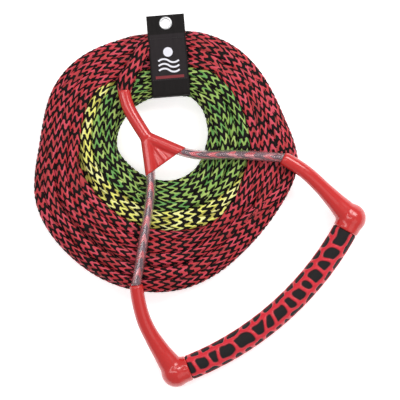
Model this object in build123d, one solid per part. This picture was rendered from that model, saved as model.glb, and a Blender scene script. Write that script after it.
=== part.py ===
from build123d import *
import os
from math import atan2, cos, degrees, pi, radians, sin

os.makedirs("parts", exist_ok=True)

# A tow rope with its handle, lying flat on a floor: a coil of three coloured rope
# sections, a hook-and-loop keeper round the coil, and a curved handle on a bridle
# that rests across the coil. Millimetres, +Z up, the floor at z = 0, and the origin
# at the middle of the handle's and keeper's footprint.

# ---- driving dimensions ----

CLEARANCE = 0.3            # gap kept between pieces of different bodies
FIT_GAP = 0.1              # gap between pieces that are fitted into each other

# rope
ROPE_THICKNESS = 7.5       # a hollow braid lies flat, about twice as wide as thick
HANDLE_ROPE_RADIUS = 6.0   # the spliced stretch between the coil and the yoke
CORE_ROPE_RADIUS = 4.4     # rope pulled tight inside hoses, yoke and boots

# coil
COIL_HEIGHT = 38.0
COIL_HEIGHT_AT_KEEPER = 35.8
COIL_OUTER_EDGE = 13.0     # rounding of the outer top edge
COIL_INNER_EDGE = 9.0      # rounding of the top edge round the hole
COIL_FOOT_EDGE = 6.0       # rounding along the floor
KEEPER_SQUEEZE = 6.0       # rounding of the coil where the keeper goes round it
RING_GAP = 0.2             # between one colour's ring and the next
EYE_MIDDLE = (-27.5, 88.0) # the stowed boat's eye, in plan
EYE_TURN = 84.0            # degrees from +X
EYE_LENGTH = 86.0          # along the middle of its rope
EYE_WIDTH = 14.5
EYE_ROOM = 1.0             # space left round the eye in the coil

# keeper strap
STRAP_WIDTH = 48.0
STRAP_THICKNESS = 2.0
KEEPER_TURN = 4.67         # degrees that the keeper leans from +Y towards -X
KEEPER_EDGE = (-90.2, 134.7, 0.0)   # middle of the keeper's bend into the hole
COIL_BAND = 80.3           # width of the coil under the keeper
FLAP_HEIGHT = 41.7         # middle of the flap's thickness over the coil
FLAP_LENGTH = 101.2        # from the bend into the hole to the end of the tab
TAB_HEIGHT = 39.3          # middle of the tab's thickness
PATCH_THICKNESS = 1.2
EYELET_FROM_END = 10.3     # eyelet's centre to the end of the tab
EYELET_HOLE_RADIUS = 5.1
EYELET_WALL = 0.9
EYELET_FLANGE_RADIUS = 8.5
EYELET_FLANGE_THICKNESS = 0.6

# handle
BAR_RADIUS = 393.0         # bend of the bar, in plan
BAR_TUBE_RADIUS = 11.0
BAR_TUBE_WALL = 1.6
GRIP_RADIUS = 15.6
BALL_RADIUS = 19.0
COLLAR_RADIUS = 16.6
COLLAR_REACH = 17.6        # ball's centre to the collar's rim, along the bar
BAR_END_SETBACK = 5.0      # ball's centre to the end of the bar tube
PLUG_LENGTH = 7.0
KNOT_RADIUS = 8.2
KNOT_DEPTH = 20.6          # ball's centre to the middle of the stopper knot
ROPE_TURN_RADIUS = 6.0     # the rope's turn inside the ball, from the bar to the tail
LEFT_BALL = (-84.5, -218.5, BALL_RADIUS)
RIGHT_BALL = (138.9, -21.8, BALL_RADIUS)

# bridle
BRIDLE_HEIGHT = 47.5       # height of the legs' and yoke's middle over the floor
HOSE_RADIUS = 6.2
HOSE_BORE = 4.7
NECK_RADIUS = 7.9
ARM_RADIUS = 7.5
ARM_END_RADIUS = 7.0
WEB_THICKNESS = 6.0
TAIL_RADIUS = 8.8          # the boot's tail where it takes the hose
TAIL_ROOT_RADIUS = 13.0    # the tail where it leaves the ball
SEAM_TURN = 200.0          # degrees that a sphere's seam is turned from +X
SOCKET_DEPTH = 12.0        # how far each hose goes into the yoke's arm
ARM_LEAD = 8.0             # how far each leg runs straight on out of the arm


def at_bridle(x, y):
    """A point at the height of the bridle's legs."""
    return Vector(x, y, BRIDLE_HEIGHT)


# the route of the bridle, from the keeper to the bar
LIFT_POINT = Vector(-128.8, 186.1, 44.6)
HANDLE_ROPE_BENDS = [Vector(-140.5, 172.5, 46.2), Vector(-149.0, 157.0, 47.3)]
NECK_TOP = at_bridle(-150.1, 140.1)
NECK_BENDS = [at_bridle(-147.6, 125.0), at_bridle(-139.5, 108.0)]
JUNCTION = at_bridle(-122.0, 81.0)
RIGHT_ARM_END = at_bridle(-78.1, 62.6)
LEFT_ARM_END = at_bridle(-116.2, 35.6)
RIGHT_LEG_BENDS = [at_bridle(-45.0, 57.4), at_bridle(-6.0, 59.4)]
LEFT_LEG_BENDS = [at_bridle(-116.8, 2.0), at_bridle(-124.0, -42.0)]
RIGHT_TAIL_TOP = at_bridle(50.2, 54.6)
LEFT_TAIL_TOP = at_bridle(-134.6, -105.4)
RIGHT_TAIL_BENDS = [Vector(73.0, 43.0, 46.8), Vector(104.0, 14.5, 34.0)]
LEFT_TAIL_BENDS = [Vector(-131.5, -135.0, 42.5), Vector(-115.5, -175.0, 29.5)]

# ---- small helpers ----


def save(part, node):
    """Write one sub-part's STEP file."""
    export_step(part, f"parts/{node}.step")


def heading(start, end):
    """The unit direction from one point to another."""
    return (Vector(end) - Vector(start)).normalized()


def radii_along(points):
    """Arc radii as large as the runs on each side of every corner allow."""
    radii = []
    for before, corner, after in zip(points, points[1:], points[2:]):
        run_in = corner - before
        run_out = after - corner
        half_turn = radians(run_in.get_angle(run_out)) / 2
        shorter = min(run_in.length, run_out.length)
        radii.append(0.45 * shorter * cos(half_turn) / sin(half_turn))
    return radii


def disc(centre, direction, radius):
    """A flat disc facing along a direction."""
    return Plane(origin=centre, z_dir=direction) * Circle(radius)


def tube(points, radius, radii=None):
    """A round bar along straight runs joined by tangent arcs."""
    path = FilletPolyline(*points, radius=radii or radii_along(points))
    return sweep(disc(points[0], heading(points[0], points[1]), radius), path=path)


def describe(name, points, radius, radii=None):
    """Print a rope's length, its bend radii and how true its swept volume is."""
    radii = radii or radii_along(points)
    length = FilletPolyline(*points, radius=radii).length
    ratio = tube(points, radius, radii).volume / (length * pi * radius ** 2)
    bends = ", ".join(f"{bend:.0f}" for bend in radii)
    print(f"{name}: length {length:.1f}, bend radii {bends}, volume ratio {ratio:.4f}")


def cone(start, end, start_radius, end_radius):
    """A round rod between two points that tapers evenly."""
    direction = heading(start, end)
    return loft([disc(start, direction, start_radius), disc(end, direction, end_radius)])


def ball(centre, radius):
    """A sphere about a point, its seam turned away from the bar and the ropes."""
    return Pos(*centre) * Rot(0, 0, SEAM_TURN) * Sphere(radius)


# ---- coil ----


def outer_outline():
    """The coil's outer edge in plan: nearly round, flatter towards the handle."""
    points = [
        (69, 65), (47, 119), (1, 188), (-50, 213), (-105, 216), (-157, 204), (-206, 183),
        (-242, 142), (-258, 66), (-264, 4), (-219, -71), (-137, -114), (-74, -112),
        (3, -63), (55, 6),
    ]
    return make_face(Spline(*points, periodic=True))


def hole_outline():
    """The hole in the coil, flattened at the top where the keeper pulls it."""
    points = [
        (-44, 76), (-44, 101), (-56, 126), (-90, 134.7), (-127, 129), (-153, 104), (-162, 74),
        (-147, 47), (-105, 25), (-61, 39),
    ]
    return make_face(Spline(*points, periodic=True))


def green_outline(gap=0.0):
    """Where the green rope meets the yellow."""
    return Pos(-89.5, 82.5) * Ellipse(101.5 + gap, 96.5 + gap)


def yellow_outline(gap=0.0):
    """Where the yellow rope meets the red."""
    return Pos(-90, 76.5) * Ellipse(117.0 + gap, 113.5 + gap)


def keeper_frame():
    """The keeper's own axes: across, outward from the hole, and up."""
    return Location(KEEPER_EDGE, (0, 0, KEEPER_TURN))


def keeper_channel():
    """The space that the keeper takes from the coil on all four sides."""
    width = STRAP_WIDTH + 3 * CLEARANCE
    reach = 5 * COIL_HEIGHT
    floor_gap = STRAP_THICKNESS + CLEARANCE
    band = Pos(0, COIL_BAND / 2, 0) * Box(width, reach, reach)
    depth = COIL_BAND - 2 * CLEARANCE
    section = RectangleRounded(depth, COIL_HEIGHT_AT_KEEPER - floor_gap, KEEPER_SQUEEZE)
    middle = (COIL_HEIGHT_AT_KEEPER + floor_gap) / 2
    upright = Plane(origin=(-width / 2, COIL_BAND / 2, middle), x_dir=(0, 1, 0), z_dir=(1, 0, 0))
    kept = extrude(upright * section, width)
    return keeper_frame() * (band - kept)


def eye_place(height):
    """Where the boat's eye is stowed, at a height over the floor."""
    return Pos(*EYE_MIDDLE, height) * Rot(0, 0, EYE_TURN)


def boat_loop():
    """The spliced eye for the boat's tow hook: two straight sides and two round ends."""
    path = eye_place(ROPE_THICKNESS / 2 + RING_GAP) * SlotOverall(EYE_LENGTH, EYE_WIDTH)
    wire = path.face().outer_wire()
    start = wire @ 0
    section = disc(start, wire % 0, ROPE_THICKNESS / 2)
    return sweep(section, path=wire)


def boat_loop_pocket():
    """The space under the inner turns where the boat's eye is stowed."""
    margin = ROPE_THICKNESS + 2 * EYE_ROOM
    pocket = SlotOverall(EYE_LENGTH + margin, EYE_WIDTH + margin)
    return eye_place(0) * extrude(pocket, ROPE_THICKNESS + EYE_ROOM)


def coil_rings():
    """The three colours of rope, each as the outer shape of its turns."""
    hole = hole_outline()
    red = extrude(outer_outline() - yellow_outline(RING_GAP), COIL_HEIGHT)
    yellow = extrude(yellow_outline() - green_outline(RING_GAP), COIL_HEIGHT)
    green = extrude(green_outline() - hole, COIL_HEIGHT)

    top = red.faces().sort_by(Axis.Z)[-1]
    red = fillet(top.outer_wire().edges(), COIL_OUTER_EDGE)
    foot = red.faces().sort_by(Axis.Z)[0]
    red = fillet(foot.outer_wire().edges(), COIL_FOOT_EDGE)

    top = green.faces().sort_by(Axis.Z)[-1]
    green = fillet(top.inner_wires()[0].edges(), COIL_INNER_EDGE)
    foot = green.faces().sort_by(Axis.Z)[0]
    green = fillet(foot.inner_wires()[0].edges(), COIL_FOOT_EDGE / 2)

    channel = keeper_channel()
    pocket = boat_loop_pocket()
    return red - channel, yellow - channel, green - channel - pocket


# ---- keeper ----


def strap_band(points, radii, width=STRAP_WIDTH, thickness=STRAP_THICKNESS):
    """Webbing of even thickness along a profile of outward and upward points."""
    profile = FilletPolyline(*[(y, z) for y, z in points], radius=radii)
    face = trace(profile, thickness)
    upright = Plane(origin=(-width / 2, 0, 0), x_dir=(0, 1, 0), z_dir=(1, 0, 0))
    return extrude(upright * face, width)


WALL = STRAP_THICKNESS / 2 + RING_GAP            # strap's middle to the coil's wall
FOLD_Y = -WALL                                   # the flap's hinge line, outward of the edge
STRAP_END = 38.0                                 # the under-strap's end on top of the coil
CLOSURE_HEIGHT = COIL_HEIGHT_AT_KEEPER + STRAP_THICKNESS / 2 + RING_GAP
STRAP_CORNERS = [6.0, 4.0, 4.0]                  # bend radii over the outer side and under it
FLAP_CORNERS = [12.0, 12.0]                      # bend radii where the flap drops to the tab
FLAP_DROP_START = 72.0                           # outward of the edge
FLAP_DROP_END = 80.0


def keeper_strap():
    """The fixed part: up from the fold, under the coil and over its outer side."""
    outer_wall = COIL_BAND + WALL
    wall_top = FLAP_HEIGHT - STRAP_THICKNESS / 2 - CLEARANCE
    points = [
        (STRAP_END, CLOSURE_HEIGHT), (outer_wall, CLOSURE_HEIGHT),
        (outer_wall, STRAP_THICKNESS / 2), (FOLD_Y, STRAP_THICKNESS / 2), (FOLD_Y, wall_top),
    ]
    return keeper_frame() * strap_band(points, STRAP_CORNERS)


def keeper_flap():
    """The moving part: over the coil, down a little, and out to the hanging tab."""
    points = [
        (FOLD_Y, FLAP_HEIGHT), (FLAP_DROP_START, FLAP_HEIGHT), (FLAP_DROP_END, TAB_HEIGHT),
        (FLAP_LENGTH, TAB_HEIGHT),
    ]
    panel = strap_band(points, FLAP_CORNERS)
    fold = Pos(0, FOLD_Y, FLAP_HEIGHT) * Rot(0, 90, 0) * Cylinder(STRAP_THICKNESS / 2, STRAP_WIDTH)
    hole_radius = EYELET_HOLE_RADIUS + EYELET_WALL + FIT_GAP
    hole = eyelet_place() * Cylinder(hole_radius, 2 * STRAP_THICKNESS)
    return keeper_frame() * (panel + fold - hole)


def eyelet_place():
    """The eyelet's centre in the keeper's own axes."""
    return Pos(0, FLAP_LENGTH - EYELET_FROM_END, TAB_HEIGHT)


def eyelet():
    """The eyelet's barrel with its rolled top flange."""
    half = STRAP_THICKNESS / 2
    top = half + EYELET_FLANGE_THICKNESS
    barrel_length = 2 * top
    barrel_radius = EYELET_HOLE_RADIUS + EYELET_WALL
    barrel = Cylinder(barrel_radius, barrel_length)
    flange = Pos(0, 0, half + EYELET_FLANGE_THICKNESS / 2) * Cylinder(
        EYELET_FLANGE_RADIUS, EYELET_FLANGE_THICKNESS)
    bore = Cylinder(EYELET_HOLE_RADIUS, 4 * top)
    return keeper_frame() * eyelet_place() * (barrel + flange - bore)


def eyelet_washer():
    """The ring that the barrel is rolled over, under the tab."""
    barrel_radius = EYELET_HOLE_RADIUS + EYELET_WALL + FIT_GAP / 2
    drop = STRAP_THICKNESS / 2 + EYELET_FLANGE_THICKNESS / 2
    hole = Cylinder(barrel_radius, 2 * STRAP_THICKNESS)
    ring = Cylinder(EYELET_FLANGE_RADIUS, EYELET_FLANGE_THICKNESS) - hole
    return keeper_frame() * eyelet_place() * Pos(0, 0, -drop) * ring


PATCH_LENGTH = 28.0
PATCH_WIDTH = 42.0
PATCH_MIDDLE = 56.0


def patch(bottom):
    """One square of hook-and-loop tape whose underside is at a height."""
    place = Pos(0, PATCH_MIDDLE, bottom + PATCH_THICKNESS / 2)
    return keeper_frame() * place * Box(PATCH_WIDTH, PATCH_LENGTH, PATCH_THICKNESS)


PRINT_THICKNESS = 0.3
SUN_RADIUS = 6.0
SUN_PLACE = 54.0           # outward of the edge
WAVE_PLACE = 43.0
WAVE_PITCH = 6.0
WAVE_SIZE = (26.0, 2.4, 2.2)        # width, crest height and line thickness
STRIPE_PLACE = 22.5
STRIPE_SIZE = (36.0, 3.6)


def on_flap(x, y, face):
    """A printed shape, slightly raised on the flap's outer face."""
    top = FLAP_HEIGHT + STRAP_THICKNESS / 2
    return keeper_frame() * Pos(x, y, top) * extrude(face, PRINT_THICKNESS)


def wave(width, height, thickness):
    """One ripple of the emblem: a crest and a trough of equal arcs."""
    quarter = width / 4
    crest = ThreePointArc((-2 * quarter, 0), (-quarter, height), (0, 0))
    trough = ThreePointArc((0, 0), (quarter, -height), (2 * quarter, 0))
    return trace(Curve() + [crest, trough], thickness)


def emblem():
    """A plain printed mark: a round sun over three ripples."""
    pieces = [on_flap(0, SUN_PLACE, Circle(SUN_RADIUS))]
    for row in range(3):
        pieces.append(on_flap(0, WAVE_PLACE - WAVE_PITCH * row, wave(*WAVE_SIZE)))
    return Compound(children=pieces)


def stripe():
    """The red line printed under the emblem."""
    return on_flap(0, STRIPE_PLACE, Rectangle(*STRIPE_SIZE))


# ---- bar ----

BALLS = {"left": Vector(LEFT_BALL), "right": Vector(RIGHT_BALL)}
CHORD = BALLS["right"] - BALLS["left"]
HALF_CHORD = CHORD.length / 2
CHORD_MIDDLE = (BALLS["left"] + BALLS["right"]) / 2
BULGE = Vector(CHORD.Y, -CHORD.X, 0).normalized()
BAR_CENTRE = CHORD_MIDDLE - BULGE * (BAR_RADIUS ** 2 - HALF_CHORD ** 2) ** 0.5


def bar_angle(side, inward):
    """The angle about the bar's bend, some way along the bar from a ball's centre."""
    spoke = BALLS[side] - BAR_CENTRE
    angle = degrees(atan2(spoke.Y, spoke.X))
    step = degrees(inward / BAR_RADIUS)
    return angle + step if side == "left" else angle - step


def bar_point(angle):
    """A point on the bar's middle line."""
    direction = Vector(cos(radians(angle)), sin(radians(angle)), 0)
    return BAR_CENTRE + direction * BAR_RADIUS


def along_bar(from_angle, to_angle, radius):
    """A round bar that follows the bend between two angles."""
    low, high = sorted((from_angle, to_angle))
    spoke = Vector(cos(radians(low)), sin(radians(low)), 0)
    tangent = Vector(-spoke.Y, spoke.X, 0)
    section = Plane(origin=bar_point(low), x_dir=spoke, z_dir=tangent) * Circle(radius)
    spindle = Axis(BAR_CENTRE, (0, 0, 1))
    return revolve(section, axis=spindle, revolution_arc=high - low)


def bar_tube():
    """The curved aluminium tube inside the grip."""
    left = bar_angle("left", BAR_END_SETBACK)
    right = bar_angle("right", BAR_END_SETBACK)
    bore = along_bar(left - 1, right + 1, BAR_TUBE_RADIUS - BAR_TUBE_WALL)
    return along_bar(left, right, BAR_TUBE_RADIUS) - bore


def bar_plug(side):
    """The ring in the tube's end that the stopper knot pulls against."""
    start = bar_angle(side, BAR_END_SETBACK)
    end = bar_angle(side, BAR_END_SETBACK + PLUG_LENGTH)
    body = along_bar(start, end, BAR_TUBE_RADIUS - BAR_TUBE_WALL - FIT_GAP)
    hole_radius = CORE_ROPE_RADIUS + 3 * FIT_GAP
    return body - along_bar(bar_angle(side, 0), bar_angle(side, KNOT_DEPTH), hole_radius)


def grip_sleeve():
    """The foam grip on the tube, from collar to collar."""
    left = bar_angle("left", COLLAR_REACH + FIT_GAP)
    right = bar_angle("right", COLLAR_REACH + FIT_GAP)
    body = along_bar(left, right, GRIP_RADIUS)
    return body - along_bar(left - 1, right + 1, BAR_TUBE_RADIUS + FIT_GAP)


# ---- boots ----

TAIL_TOPS = {"left": LEFT_TAIL_TOP, "right": RIGHT_TAIL_TOP}
TAIL_BENDS = {"left": LEFT_TAIL_BENDS, "right": RIGHT_TAIL_BENDS}


def tail_route(side):
    """From the knot in the bar, through the ball and up the tail to the hose."""
    knot = bar_point(bar_angle(side, KNOT_DEPTH))
    bends = list(reversed(TAIL_BENDS[side]))
    return [knot, BALLS[side], *bends, TAIL_TOPS[side]]


def tail_radii(side):
    """Bend radii of the tail's rope: tight inside the ball, easy in the tail."""
    return [ROPE_TURN_RADIUS, *radii_along(tail_route(side)[1:])]


def tail_rope(side):
    """The end of the bridle rope inside the boot."""
    route = tail_route(side)
    describe(f"tail_rope_{side}", route, CORE_ROPE_RADIUS, tail_radii(side))
    rope = tube(route, CORE_ROPE_RADIUS, tail_radii(side))
    return rope - ball(route[0], KNOT_RADIUS + FIT_GAP)


def boot(side):
    """The moulded ball end with its collar and its tail up to the hose."""
    route = tail_route(side)
    centre, low_bend, top = route[1], route[2], route[-1]
    tail = tube(route[1:], TAIL_RADIUS)
    root = cone(centre, low_bend, TAIL_ROOT_RADIUS, TAIL_RADIUS + FIT_GAP)
    collar = along_bar(bar_angle(side, 0), bar_angle(side, COLLAR_REACH), COLLAR_RADIUS)
    bore_start = bar_angle(side, BAR_END_SETBACK - FIT_GAP)
    bore_end = bar_angle(side, COLLAR_REACH + BAR_END_SETBACK)
    bar_bore = along_bar(bore_start, bore_end, BAR_TUBE_RADIUS + FIT_GAP)
    rope_bore = tube(route, CORE_ROPE_RADIUS + FIT_GAP, tail_radii(side))
    body = ball(centre, BALL_RADIUS) + collar + root + tail + ball(top, TAIL_RADIUS)
    return body - bar_bore - rope_bore


def stopper_knot(side):
    """The knot inside the tube, behind the plug."""
    return ball(bar_point(bar_angle(side, KNOT_DEPTH)), KNOT_RADIUS)


# ---- bridle ----

NECK_ROUTE = [NECK_TOP, *NECK_BENDS, JUNCTION]
ARM_ENDS = {"left": LEFT_ARM_END, "right": RIGHT_ARM_END}
LEG_BENDS = {"left": LEFT_LEG_BENDS, "right": RIGHT_LEG_BENDS}


def arm_point(side, outward):
    """A point on an arm's middle line, some way outward of the arm's end."""
    return ARM_ENDS[side] + heading(JUNCTION, ARM_ENDS[side]) * outward


def leg_route(side):
    """A leg's middle line, from inside the yoke's arm to just short of the boot."""
    top = TAIL_TOPS[side]
    last_bend = LEG_BENDS[side][-1]
    end = top + heading(top, last_bend) * (TAIL_RADIUS + CLEARANCE)
    return [arm_point(side, -SOCKET_DEPTH), arm_point(side, ARM_LEAD), *LEG_BENDS[side], end]


def yoke_splice():
    """The spliced rope moulded into the yoke."""
    core = tube(NECK_ROUTE, CORE_ROPE_RADIUS) + ball(JUNCTION, CORE_ROPE_RADIUS)
    for side in ("left", "right"):
        start = arm_point(side, -SOCKET_DEPTH - FIT_GAP)
        core = core + cone(JUNCTION, start, CORE_ROPE_RADIUS, CORE_ROPE_RADIUS)
    return core


def yoke():
    """The moulded Y: a neck, two arms and the web between the arms."""
    body = tube(NECK_ROUTE, NECK_RADIUS) + ball(JUNCTION, NECK_RADIUS)
    corners = [JUNCTION, RIGHT_ARM_END, LEFT_ARM_END]
    triangle = make_face(Polyline(*[(corner.X, corner.Y) for corner in corners], close=True))
    web = Pos(0, 0, BRIDLE_HEIGHT - WEB_THICKNESS / 2) * extrude(triangle, WEB_THICKNESS)
    bore_radius = CORE_ROPE_RADIUS + FIT_GAP
    bores = tube(NECK_ROUTE, bore_radius) + ball(JUNCTION, bore_radius)
    for side in ("left", "right"):
        body = body + cone(JUNCTION, ARM_ENDS[side], ARM_RADIUS, ARM_END_RADIUS)
        inner = arm_point(side, -SOCKET_DEPTH)
        outside = arm_point(side, ARM_LEAD)
        socket = cone(inner, outside, HOSE_RADIUS + FIT_GAP, HOSE_RADIUS + FIT_GAP)
        bores = bores + socket + cone(JUNCTION, inner, bore_radius, bore_radius)
    return body + web - bores


def hose(side):
    """The clear sleeve on one leg of the bridle."""
    return tube(leg_route(side), HOSE_RADIUS) - tube(leg_route(side), HOSE_BORE)


def bridle_rope(side):
    """The rope inside one hose."""
    describe(f"bridle_rope_{side}", leg_route(side), CORE_ROPE_RADIUS)
    return tube(leg_route(side), CORE_ROPE_RADIUS)


def handle_rope():
    """The rope between the keeper and the yoke, with a round end at the lift point."""
    route = [LIFT_POINT, *HANDLE_ROPE_BENDS, NECK_TOP]
    describe("handle_rope", route, HANDLE_ROPE_RADIUS)
    rope = tube(route, HANDLE_ROPE_RADIUS) + ball(LIFT_POINT, HANDLE_ROPE_RADIUS)
    into_neck = heading(NECK_TOP, NECK_BENDS[0])
    neck_side = cone(NECK_TOP, NECK_TOP + into_neck * NECK_RADIUS, NECK_RADIUS, NECK_RADIUS)
    return rope - neck_side


# ---- all the pieces ----


def main():
    """Build every sub-part and write its file."""
    red, yellow, green = coil_rings()
    save(red, "red_rope_coil")
    save(yellow, "yellow_rope_coil")
    save(green, "green_rope_coil")
    save(boat_loop(), "boat_loop")

    save(keeper_strap(), "keeper_strap")
    strap_top = CLOSURE_HEIGHT + STRAP_THICKNESS / 2
    flap_underside = FLAP_HEIGHT - STRAP_THICKNESS / 2
    save(patch(strap_top), "loop_patch")
    save(patch(flap_underside - PATCH_THICKNESS), "hook_patch")
    save(keeper_flap(), "keeper_flap")
    save(eyelet(), "hang_eyelet")
    save(eyelet_washer(), "eyelet_washer")
    save(emblem(), "printed_emblem")
    save(stripe(), "printed_stripe")

    save(handle_rope(), "handle_rope")
    save(yoke(), "bridle_yoke")
    save(yoke_splice(), "yoke_splice")
    save(bar_tube(), "bar_tube")
    save(grip_sleeve(), "grip_sleeve")
    for side in ("left", "right"):
        save(hose(side), f"hose_{side}")
        save(bridle_rope(side), f"bridle_rope_{side}")
        save(boot(side), f"boot_{side}")
        save(tail_rope(side), f"tail_rope_{side}")
        save(stopper_knot(side), f"stopper_knot_{side}")
        save(bar_plug(side), f"bar_plug_{side}")


main()
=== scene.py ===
import math

import bmesh
import bpy
import numpy as np
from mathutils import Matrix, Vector
from mathutils.bvhtree import BVHTree


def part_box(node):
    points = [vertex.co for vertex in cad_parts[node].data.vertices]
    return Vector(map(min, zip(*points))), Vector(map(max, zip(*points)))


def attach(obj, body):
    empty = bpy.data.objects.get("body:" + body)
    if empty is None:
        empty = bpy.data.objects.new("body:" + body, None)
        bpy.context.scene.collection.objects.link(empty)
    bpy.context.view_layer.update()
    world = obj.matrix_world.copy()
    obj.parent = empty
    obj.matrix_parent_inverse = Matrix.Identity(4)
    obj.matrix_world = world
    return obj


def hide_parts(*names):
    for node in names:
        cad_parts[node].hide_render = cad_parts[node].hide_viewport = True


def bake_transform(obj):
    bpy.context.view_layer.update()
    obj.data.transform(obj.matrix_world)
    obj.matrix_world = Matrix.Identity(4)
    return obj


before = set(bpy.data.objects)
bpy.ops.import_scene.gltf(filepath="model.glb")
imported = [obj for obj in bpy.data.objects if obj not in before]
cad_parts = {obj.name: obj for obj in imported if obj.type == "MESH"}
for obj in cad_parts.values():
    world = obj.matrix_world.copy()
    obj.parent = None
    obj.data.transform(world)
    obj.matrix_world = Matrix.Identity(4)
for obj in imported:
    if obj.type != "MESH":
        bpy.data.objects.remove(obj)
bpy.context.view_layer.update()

# A tow rope with its handle, lying flat: three coloured sections of braided rope in
# one coil, a webbing keeper round it, and a curved handle on a bridle. Metres, as in
# the frame; places repeat the CAD part's, or are read from its pieces.

# ---- driving values ----

BRIDLE_HEIGHT = 0.0475
LIFT_POINT = Vector((-0.1288, 0.1861, 0.0446))
HANDLE_ROPE_BENDS = [Vector((-0.1345, 0.174, 0.0462)), Vector((-0.1455, 0.1585, 0.0473))]
NECK_TOP = Vector((-0.1501, 0.1401, BRIDLE_HEIGHT))
NECK_BENDS = [Vector((-0.1476, 0.125, BRIDLE_HEIGHT)), Vector((-0.1395, 0.108, BRIDLE_HEIGHT))]
JUNCTION = Vector((-0.122, 0.081, BRIDLE_HEIGHT))
ARM_ENDS = {
    "left": Vector((-0.1162, 0.0356, BRIDLE_HEIGHT)),
    "right": Vector((-0.0781, 0.0626, BRIDLE_HEIGHT)),
}
LEG_BENDS = {
    "left": [Vector((-0.1168, 0.002, BRIDLE_HEIGHT)), Vector((-0.124, -0.042, BRIDLE_HEIGHT))],
    "right": [Vector((-0.045, 0.0574, BRIDLE_HEIGHT)), Vector((-0.006, 0.0594, BRIDLE_HEIGHT))],
}
TAIL_TOPS = {
    "left": Vector((-0.1346, -0.1054, BRIDLE_HEIGHT)),
    "right": Vector((0.0502, 0.0546, BRIDLE_HEIGHT)),
}
TAIL_BENDS = {
    "left": [Vector((-0.1315, -0.135, 0.0425)), Vector((-0.1155, -0.175, 0.0295))],
    "right": [Vector((0.073, 0.043, 0.0468)), Vector((0.104, 0.0145, 0.034))],
}
BALLS = {"left": Vector((-0.0845, -0.2185, 0.019)), "right": Vector((0.1389, -0.0218, 0.019))}

KEEPER_EDGE = Vector((-0.0902, 0.1347, 0))     # the keeper's bend into the coil's hole
KEEPER_TURN = math.radians(4.67)
STRAP_WIDTH = 0.048

ROPE_WIDTH = 0.0150        # the braid lies flat
ROPE_THICKNESS = 0.0070
ROW_PITCH = 0.0074         # one row of strokes along the rope
ROW_SHEAR = 0.0070         # how far the rows zigzag along the rope
# how much longer a coloured row is than the average row
COLOUR_SHARE = {"red": 0.21, "yellow": 0.14, "green": 0.04}
COLUMNS = 10               # strokes round the rope
ROW_UNEVENNESS = 0.15      # of the rows' edges, in rows
STRETCH_WAVE = 0.113       # metres over which the zigzag grows steeper and flatter again
SHARE_WAVE = 0.137         # metres over which the coloured rows grow longer and shorter again
SHOWN = 0.35               # a row is modelled finely where it shows more than this


# ---- meshes ----


def new_object(name, mesh):
    """An object for a mesh or curve, in the scene."""
    thing = bpy.data.objects.new(name, mesh)
    bpy.context.scene.collection.objects.link(thing)
    return thing


def turn_outward(mesh):
    """Make every face of a closed mesh face outward."""
    shape = bmesh.new()
    shape.from_mesh(mesh)
    bmesh.ops.recalc_face_normals(shape, faces=shape.faces[:])
    shape.to_mesh(mesh)
    shape.free()


def mesh_piece(name, points, faces, materials, picks=None, flow=None):
    """A smooth mesh piece; picks gives each face's material, flow each vertex's UV."""
    mesh = bpy.data.meshes.new(name)
    mesh.from_pydata(np.asarray(points).tolist(), [], [list(face) for face in faces])
    if len(faces) > 1:
        turn_outward(mesh)
    for material in materials:
        mesh.materials.append(material)
    if picks is not None:
        mesh.polygons.foreach_set("material_index", np.asarray(picks, np.int32))
    mesh.shade_smooth()
    if flow is not None:
        corners = np.zeros(len(mesh.loops), np.int32)
        mesh.loops.foreach_get("vertex_index", corners)
        layer = mesh.uv_layers.new(name="flow")
        layer.data.foreach_set("uv", np.asarray(flow, np.float32)[corners].ravel())
    mesh.update()
    return new_object(name, mesh)


def tube_faces(rings, sides):
    """Faces of a closed tube: the wall between its rings of points, and its two ends."""
    number = np.arange(rings * sides).reshape(rings, sides)
    right = np.roll(number, -1, axis=1)
    wall = np.stack([number[:-1], number[1:], right[1:], right[:-1]], -1).reshape(-1, 4)
    return wall.tolist() + [number[0].tolist(), number[-1][::-1].tolist()]


def hoop_faces(rings, sides):
    """Faces of a hoop: a tube whose last ring of points meets its first."""
    number = np.arange(rings * sides).reshape(rings, sides)
    ahead = np.roll(number, -1, axis=0)
    return np.stack([number, ahead, np.roll(ahead, -1, 1), np.roll(number, -1, 1)], -1).reshape(-1, 4)


def joined(parts):
    """Points and faces of several parts as one."""
    points, faces, start = [], [], 0
    for part_points, part_faces in parts:
        points.append(np.asarray(part_points))
        faces += [[index + start for index in face] for face in part_faces]
        start += len(part_points)
    return np.concatenate(points), faces


def vertices(mesh):
    """A mesh's vertices, one to a row."""
    places = np.zeros(len(mesh.vertices) * 3)
    mesh.vertices.foreach_get("co", places)
    return places.reshape(-1, 3)


def mark(piece, name, values):
    """Store a value on each vertex of a piece."""
    layer = piece.data.attributes.new(name, "FLOAT", "POINT")
    layer.data.foreach_set("value", np.asarray(values, np.float32).ravel())


def smooth_route(points, resolution=12):
    """Points along the smooth line that a route's points control."""
    curve = bpy.data.curves.new("route", "CURVE")
    curve.dimensions = "3D"
    spline = curve.splines.new("NURBS")
    spline.points.add(len(points) - 1)
    for place, point in zip(spline.points, points):
        place.co = (*point, 1)
    spline.order_u = 3
    spline.use_endpoint_u = True
    spline.resolution_u = resolution
    thing = new_object("route", curve)
    mesh = bpy.data.meshes.new_from_object(thing)
    line = vertices(mesh)
    bpy.data.objects.remove(thing)
    bpy.data.meshes.remove(mesh)
    bpy.data.curves.remove(curve)
    return line


def distances(line):
    """How far along a line each of its points is."""
    steps = np.linalg.norm(np.diff(line, axis=0), axis=1)
    return np.concatenate([[0], np.cumsum(steps)])


def sample(line, along, at):
    """A line's points at given distances along it, for an array of any shape."""
    return np.stack([np.interp(at, along, line[:, axis]) for axis in range(line.shape[1])], -1)


def unit(vectors):
    """Vectors of length one."""
    return vectors / np.maximum(np.linalg.norm(vectors, axis=-1, keepdims=True), 1e-9)


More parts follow.
